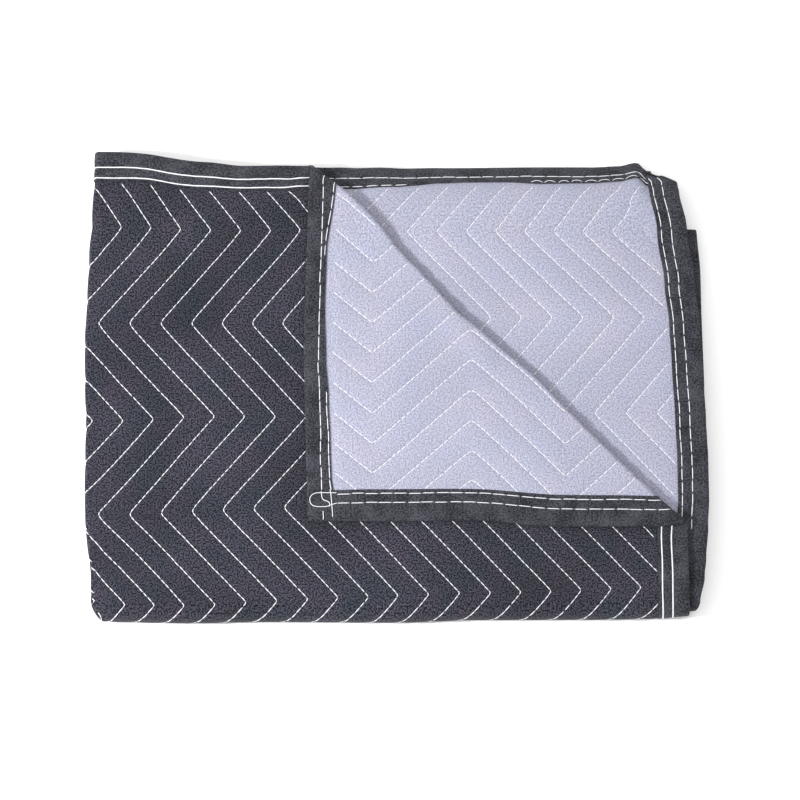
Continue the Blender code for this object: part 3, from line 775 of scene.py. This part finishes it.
def upper_side(place, depth):
    """The upper side's binding: a place along it and a depth from its edge, as u and s."""
    further_in = read_table(SIDE_BINDING_IN, place) * smooth(depth / SIDE_IN_REACH)
    return WIDTH_UPPER - depth - further_in, place + 0 * depth


def lower_side(place, depth):
    """The same for the lower side, whose end at the back is cut off at a slant."""
    share = np.clip((CUT_OFF_END - place) / CUT_OFF_LENGTH, 0, 1)
    return depth - WIDTH_LOWER, place + share * np.clip(CUT_OFF_DEPTH - depth, 0, 1)


def back_end(place, depth):
    """The same for the back end, whose binding's inner edge curls in and out."""
    curl = read_table(END_BINDING_IN, place) * np.clip((depth - CURL_FROM) / CURL_LENGTH, 0, 1)
    return place + 0 * depth, depth + curl


def tucked_end(place, depth):
    """The same for the end inside the fold."""
    return place, LENGTH - depth


def level(_):
    """How much thicker a binding is at a place, as a share: nowhere."""
    return 0.0


def end_swell(_):
    """The same for the end binding, which lies over the side binding at the turned corner."""
    return END_SWELL


def corner_swell(place):
    """The same for the lower side binding, which lies over the end binding."""
    return CORNER_SWELL * (1 - grown(place, *CORNER_SWELL_FADES))


def binding(name, width, rows, start, end, spacing, place_point, swell=level):
    """A strip of tape folded over an edge, drawn flat, cut where it folds and then laid on the pad."""
    section = tape_section(width, rows)
    depths, heights = np.array(section).T
    count = max(2, round((end - start) / spacing))
    net = bmesh.new()
    rings = []
    for place in spaced(start, end - start, count):
        u, s = np.broadcast_arrays(*place_point(place, depths))
        raised = heights * (1 + swell(place))
        rings.append([net.verts.new(point) for point in zip(u.tolist(), s.tolist(), raised.tolist())])
    n = len(section)
    for a, b in zip(rings, rings[1:]):
        for i in range(n):
            j = (i + 1) % n
            net.faces.new((a[i], a[j], b[j], b[i]))
    net.faces.new(list(reversed(rings[0])))
    net.faces.new(rings[-1])
    bmesh.ops.recalc_face_normals(net, faces=net.faces)
    for point, across in fold_lines():
        cut(net, point, across)
    points, faces = flat_parts(net)
    u, s, w = points.T
    flat = np.stack([u + np.sign(w) * SIDES_APART, s], axis=1)
    made = (name, folded(u, s, w), faces, flat, TAPE, "binding")
    return new_piece(*made, flip=True, crease=TAPE_CREASE)


def bindings():
    """The four strips, each over one edge of the pad."""
    side = (SIDE_BINDING, SIDE_ROWS)
    end = (END_BINDING, END_ROWS)
    last = LENGTH - END_INSET
    run = (UPPER_SIDE_START, last, TAPE_SPACING)
    upper = binding("side_tape_upper", *side, *run, upper_side)
    run = (LOWER_SIDE_START, last, TAPE_SPACING)
    lower = binding("side_tape_lower", *side, *run, lower_side, corner_swell)
    run = (LOWER_STEP - WIDTH_LOWER, WIDTH_UPPER - BACK_INSET, TAPE_SPACING)
    back = binding("end_tape_back", *end, *run, back_end, end_swell)
    run = (SIDE_BINDING - WIDTH_LOWER, WIDTH_UPPER - SIDE_BINDING, TAPE_SPACING_HIDDEN)
    tucked = binding("end_tape_tucked", *end, *run, tucked_end)
    return upper, lower, back, tucked


# The threads
THREAD_SIDES = 6
THREAD_END = 0.6  # how thick a thread's ends are, as a share of the rest
THREAD_ROUND = 0.002  # the way round a thread on its map


def threads(name, u, s, w, outward, width, height, taper=True):
    """Threads over flat paths: u, s and w have a row for each thread, a column for each point."""
    centre = folded(u, s, w)
    up = folded(u, s, w + outward * 0.001) - centre
    up = up / np.linalg.norm(up, axis=-1, keepdims=True)
    along = np.gradient(centre, axis=1)
    along = along / np.linalg.norm(along, axis=-1, keepdims=True)
    side = np.cross(along, up)
    side = side / np.linalg.norm(side, axis=-1, keepdims=True)
    up = np.cross(side, along)
    size = np.ones(u.shape[1])
    if taper:
        size[0] = size[-1] = THREAD_END
    angles = 2 * math.pi * np.arange(THREAD_SIDES) / THREAD_SIDES
    across = side[:, :, None] * np.cos(angles)[None, None, :, None] * width / 2
    over = up[:, :, None] * np.sin(angles)[None, None, :, None] * height / 2
    ring = centre[:, :, None] + (across + over) * size[None, :, None, None]
    ids = np.arange(ring[..., 0].size).reshape(ring.shape[:3])
    after = np.roll(ids, -1, axis=2)
    quads = np.stack([ids[:, :-1], ids[:, 1:], after[:, 1:], after[:, :-1]], axis=-1)
    faces = quads.reshape(-1, 4).tolist()
    faces += ids[:, 0].tolist() + ids[:, -1, ::-1].tolist()
    distance = np.cumsum(np.linalg.norm(np.diff(centre, axis=1, prepend=centre[:, :1]), axis=-1), axis=1)
    flat = np.zeros(ring.shape[:3] + (2,))
    flat[..., 0] = distance[:, :, None]
    flat[..., 1] = THREAD_ROUND * np.arange(THREAD_SIDES) / THREAD_SIDES
    return new_piece(name, ring.reshape(-1, 3), faces, flat.reshape(-1, 2), THREAD, "thread")


# The stitches of the quilting, and where they end at the turned corner
STITCH_PITCH = 0.0092
STITCH_LENGTH = 0.0089
STITCH_ROOM = 0.004  # the seams stop this far before the end bindings
STITCH_ROOM_SIDE = 0.003
STITCH_SHIFT = 0.06  # how unevenly stitches follow each other, as a share of their pitch
STITCH_SWAY = 0.00015
STITCH_ARCH = (-0.00015, 0.00040, 0.00040, -0.00015)  # its points' heights over the cloth
QUILT_THREAD = (0.0015, 0.0010)
QUILT_THREAD_UNDER = (0.0015, 0.0009)
ROUND_TURN, ROUND_TURN_UNDER = 0.004, 0.006  # how far they go round its fold
COVERED_FROM, COVERED_TO = 0.02, 0.545  # what it covers: past its fold, up to this s
SHOWN_BESIDE, SHOWN_TO = 0.05, 0.60  # what shows of the lower layer beside it
LAST_SEAM, LAST_SEAM_TO = -0.8815, 0.17  # no seam shows past this one there, up to this s
PAST_LEFT_FOLD = 0.02
PAST_BACK_FOLD = 0.01


def seam_stitches(keep, outward, random):
    """Flat paths of the quilting stitches whose middle keep() accepts."""
    slope = math.hypot(1, SEAM_SLOPE)
    start, end = END_BINDING + STITCH_ROOM, LENGTH - END_BINDING - STITCH_ROOM
    count = int((end - start) * slope / STITCH_PITCH)
    first = -math.ceil((WIDTH_LOWER + SEAM_SWING) / SEAM_PITCH)
    last = math.ceil((WIDTH_UPPER + SEAM_SWING) / SEAM_PITCH)
    share = np.linspace(-0.5, 0.5, len(STITCH_ARCH))
    paths_u, paths_s = [], []
    for k in range(first, last + 1):
        middle = np.arange(count) + 0.5 + random.uniform(-STITCH_SHIFT, STITCH_SHIFT, count)
        middle = start + middle * STITCH_PITCH / slope
        length = STITCH_LENGTH * random.uniform(0.86, 1.12, count) / slope
        s = middle[:, None] + length[:, None] * share[None, :]
        u = seam_at(SEAM_START + k * SEAM_PITCH, s) + random.normal(0, STITCH_SWAY, count)[:, None]
        middle_u, middle_s = u.mean(axis=1), s.mean(axis=1)
        side = np.where(middle_u > 0, WIDTH_UPPER - middle_u, WIDTH_LOWER + middle_u)
        chosen = keep(middle_u, middle_s) & (side > SIDE_BINDING + STITCH_ROOM_SIDE)
        paths_u.append(u[chosen])
        paths_s.append(s[chosen])
    u, s = np.concatenate(paths_u), np.concatenate(paths_s)
    return u, s, outward * (half_thickness(u, s) + np.array(STITCH_ARCH)[None, :])


def on_charcoal(u, s):
    """Where stitches show on the charcoal face: not on what the turned corner carries or covers."""
    turned = (s < TOP_LENGTH) & (u - s > TURN_AT - ROUND_TURN)
    covered = (u > TURN_AT + COVERED_FROM) & (s < COVERED_TO)
    outside = (u > -PAST_LEFT_FOLD) & (s < BACK_ARC_START + BACK_ARC + PAST_BACK_FOLD)
    return outside & ~turned & ~covered


def on_lavender(u, s):
    """Where they show on the lavender face: on the turned corner and beside it on the lower layer."""
    turned = (u > 0) & (s < TOP_LENGTH) & (u - s > TURN_AT - ROUND_TURN_UNDER)
    in_corner = (s < LAST_SEAM_TO) & (u - zigzag(s) < LAST_SEAM)
    beside = (u < 0) & (s < SHOWN_TO) & (-u - s > TURN_AT - SHOWN_BESIDE)
    return turned | (beside & ~in_corner)


def quilting():
    """The white stitches of the quilting, on the faces that show."""
    random = np.random.default_rng(7)
    above = seam_stitches(on_charcoal, 1, random)
    under = seam_stitches(on_lavender, -1, random)
    dark = threads("quilting_on_charcoal", *above, 1, *QUILT_THREAD)
    light = threads("quilting_on_lavender", *under, -1, *QUILT_THREAD_UNDER)
    return dark, light


# The rows of stitches on the bindings
ROW_PITCH = 0.021
ROW_DASH = 0.0190
ROW_THREAD = (0.0022, 0.0015)
DASH_THREAD = (0.0014, 0.0010)
LOOP_THREAD = (0.0012, 0.0008)
LOOP_LOW = -0.0040  # how far under the pad's middle the loops' thread lies
ROW_STOP = 0.02  # how far before a strip's ends a row on its charcoal side stops
CROSSING_START = 0.044  # where the rows on the turned corner's side edge start
CROSSING_END = 0.048  # how far before that edge the rows of the back edge stop
LOWER_ROW_ENDS = (0.575, 0.557)  # where the lower side's rows go under the top layer
LOWER_INNER_ROW = (-0.482, -0.680)  # between these the inner row at the lower layer's back is hidden
CORD_STEP = 0.003
DASH_POINTS = 7
DASH_SHIFT = 0.05
DASH_SWAY = 0.0003
CURLED_OVER = (0.478, 0.693)  # where the binding's curled edge hides its inner row

# The ends of the rows at the turned corner: s and the depth from the side edge, both flat
CORNER_LOOP = (
    (0.044, 0.0445), (0.024, 0.0448), (0.0125, 0.0445), (0.006, 0.0402), (0.0038, 0.033),
    (0.006, 0.0255), (0.0115, 0.0224), (0.024, 0.0218), (0.0312, 0.0229), (0.0363, 0.0255),
    (0.044, 0.0278),
)
END_ROW_CURL = (
    (0.0215, 0.047), (0.0222, 0.0366), (0.0252, 0.0323), (0.0303, 0.0312), (0.0342, 0.0276),
    (0.0327, 0.0224),
)
END_ROW_RUN = ((0.0345, 0.05), (0.0363, 0.037), (0.0368, 0.022), (0.0372, 0.006))
END_ROW_TICK = ((0.0232, 0.015), (0.0235, 0.007), (0.0232, 0.0015))


def rounded(values):
    """A line of values with each corner cut off, a quarter of the way to the next."""
    soon = values[:-1] * 0.75 + values[1:] * 0.25
    late = values[:-1] * 0.25 + values[1:] * 0.75
    return np.concatenate([values[:1], np.stack([soon, late], 1).ravel(), values[-1:]])


def corner_thread(name, path):
    """A thread through the points of a table, rounded at each."""
    s, depth = np.array(path).T
    for _ in range(3):
        s, depth = rounded(s), rounded(depth)
    w = np.full(s.shape, LOOP_LOW)
    return threads(name, (WIDTH_UPPER - depth)[None, :], s[None, :], w[None, :], -1, *LOOP_THREAD)


def row_cord(name, place_point, width, rows, depth, start, end, swell=level):
    """The thick thread of a binding's row on its charcoal side, nearly unbroken."""
    count = max(4, int((end - start) / CORD_STEP))
    place = np.array(spaced(start, end - start, count))
    wander = 0.0004 * np.sin(place * 61.0 + depth * 900.0) + 0.0003 * np.sin(place * 23.0)
    u, s = place_point(place, depth + wander)
    lift = 0.0003 + 0.00025 * np.cos(2 * math.pi * place / ROW_PITCH)
    w = float(tape_height(np.array(depth), width, rows)) * (1 + swell(place)) + lift
    return threads(name, u[None, :], s[None, :], w[None, :], 1, *ROW_THREAD, taper=False)


def row_dashes(
    name, place_point, width, rows, depth, start, end, random, swell=level, dash=ROW_DASH, bow=0.0
):
    """The dashes of a binding's row on its lavender side. With bow, each one bows to the inside."""
    count = round((end - start) / ROW_PITCH)
    middle = np.arange(count) + 0.5 + random.uniform(-DASH_SHIFT, DASH_SHIFT, count)
    middle = start + middle * (end - start) / count
    length = dash * random.uniform(0.94, 1.06, count)
    share = np.linspace(-0.5, 0.5, DASH_POINTS)
    place = middle[:, None] + length[:, None] * share[None, :]
    sway = depth + random.normal(0, DASH_SWAY, count)[:, None] + 0 * place
    sway = sway + bow * np.cos(math.pi * share)[None, :]
    u, s = place_point(place, sway)
    lift = np.where(np.abs(share) > 0.45, -0.0001, 0.0005)[None, :]
    w = -(tape_height(sway, width, rows) * (1 + swell(place)) + lift)
    return threads(name, u, s, w, -1, *(LOOP_THREAD if bow else DASH_THREAD))


def binding_rows():
    """The two rows of white stitches on each binding that shows."""
    random = np.random.default_rng(11)
    pieces = []
    for i, depth in enumerate(SIDE_ROWS, 1):
        crossing = WIDTH_UPPER - TURN_AT - depth
        made = (upper_side, SIDE_BINDING, SIDE_ROWS, depth)
        pieces.append(row_cord(f"upper_side_row_{i}", *made, crossing, LENGTH - ROW_STOP))
        pieces.append(row_dashes(f"upper_side_dashes_{i}", *made, CROSSING_START, crossing, random))
        made = (lower_side, SIDE_BINDING, SIDE_ROWS, depth)
        pieces.append(row_cord(f"lower_side_row_{i}", *made, TOP_LENGTH - ROW_STOP, LENGTH - ROW_STOP))
        ends = (LOWER_SIDE_START + 0.002, LOWER_ROW_ENDS[i - 1])
        pieces.append(row_dashes(f"lower_side_dashes_{i}", *made, *ends, random, corner_swell))
    for i, depth in enumerate(END_ROWS, 1):
        crossing = TURN_AT + depth
        made = (back_end, END_BINDING, END_ROWS, depth)
        pieces.append(row_cord(f"back_row_{i}", *made, -ROW_STOP, crossing, end_swell))
        ends = [crossing, WIDTH_UPPER - CROSSING_END]
        if depth == END_ROWS[1]:
            ends[1:1] = CURLED_OVER
        for j, (start, end) in enumerate(zip(ends[::2], ends[1::2]), 1):
            pieces.append(row_dashes(f"back_dashes_{i}_{j}", *made, start, end, random, end_swell))
    left, right = LOWER_STEP + 0.006 - WIDTH_LOWER, 0.03 - TURN_AT
    # A row's number, its depth, its ends, the length of a dash, and how far each one bows
    rows = (
        (1, END_ROWS[0], left, right, 0.0206, 0.0),
        (2, END_ROWS[1], LOWER_INNER_ROW[0], right, 0.0170, 0.0),
        (3, END_ROWS[1], left, LOWER_INNER_ROW[1], 0.0185, -0.0030),
    )
    for i, depth, start, end, dash, bow in rows:
        made = (back_end, END_BINDING, END_ROWS, depth, start, end, random, end_swell, dash, bow)
        pieces.append(row_dashes(f"lower_back_dashes_{i}", *made))
    paths = (CORNER_LOOP, END_ROW_CURL, END_ROW_RUN, END_ROW_TICK)
    pieces += [corner_thread(f"corner_thread_{i}", path) for i, path in enumerate(paths, 1)]
    return pieces


# Soft lights: a name, a place, how wide, and how strong
LIGHTS = (("key", (-2.5, -0.75, 2.05), 0.45, 155.0), ("fill", (1.4, 0.4, 3.0), 2.0, 18.0))
SKY = 1.04


def pale_floor():
    """A pale floor just under the pad."""
    surface = {"Base Color": (0.97, 0.97, 0.97, 1), "Roughness": 1.0, "Specular IOR Level": 0.0}
    n = Nodes("pale floor", surface)
    mesh = bpy.data.meshes.new("floor")
    size, down = 12.0, -0.0006
    corners = ((-size, -size), (size, -size), (size, size), (-size, size))
    mesh.from_pydata([(x, y, down) for x, y in corners], [], [(0, 1, 2, 3)])
    mesh.materials.append(n.material)
    floor = bpy.data.objects.new("floor", mesh)
    bpy.context.scene.collection.objects.link(floor)


def soft_light(name, place, size, power):
    """A round light that points at the pad."""
    light = bpy.data.lights.new(name, "AREA")
    light.shape = "DISK"
    light.size = size
    light.energy = power
    lamp = bpy.data.objects.new(name, light)
    lamp.location = place
    lamp.rotation_euler = (-Vector(place)).to_track_quat("-Z", "Y").to_euler()
    bpy.context.scene.collection.objects.link(lamp)


def floor_and_light():
    """A white surround, a pale floor, and soft light from the left and above."""
    pale_floor()
    world = bpy.data.worlds.new("studio")
    world.use_nodes = True
    background = world.node_tree.nodes["Background"]
    background.inputs["Color"].default_value = (1, 1, 1, 1)
    background.inputs["Strength"].default_value = SKY
    bpy.context.scene.world = world
    for light in LIGHTS:
        soft_light(*light)


def camera():
    """The photograph's view: from the front, 72 degrees up, through a long lens."""
    elevation = math.radians(72.0)
    distance = 6.0
    picture_width = 1.2
    sensor_width = 36.0
    target = Vector((0.0060 + SHIFT[0], -0.0205 + SHIFT[1], 0.0435))
    view = bpy.data.cameras.new("camera")
    view.sensor_width = sensor_width
    view.lens = sensor_width * distance / picture_width
    view.clip_end = 100.0
    eye = bpy.data.objects.new("camera", view)
    eye.location = target + distance * Vector((0, -math.cos(elevation), math.sin(elevation)))
    eye.rotation_euler = (target - eye.location).to_track_quat("-Z", "Y").to_euler()
    bpy.context.scene.collection.objects.link(eye)
    bpy.context.scene.camera = eye
    bpy.context.scene.view_settings.view_transform = "Standard"


def main():
    """The pad, its floor, light and camera."""
    charcoal, lavender = panel_faces()
    tapes = bindings()
    sewn = [*quilting(), *binding_rows()]
    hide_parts("quilted_panel")
    nodes = ("side_binding_upper", "side_binding_lower", "end_binding_back", "end_binding_tucked")
    for tape, node in zip(tapes, nodes):
        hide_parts(node)
    floor_and_light()
    camera()


main()
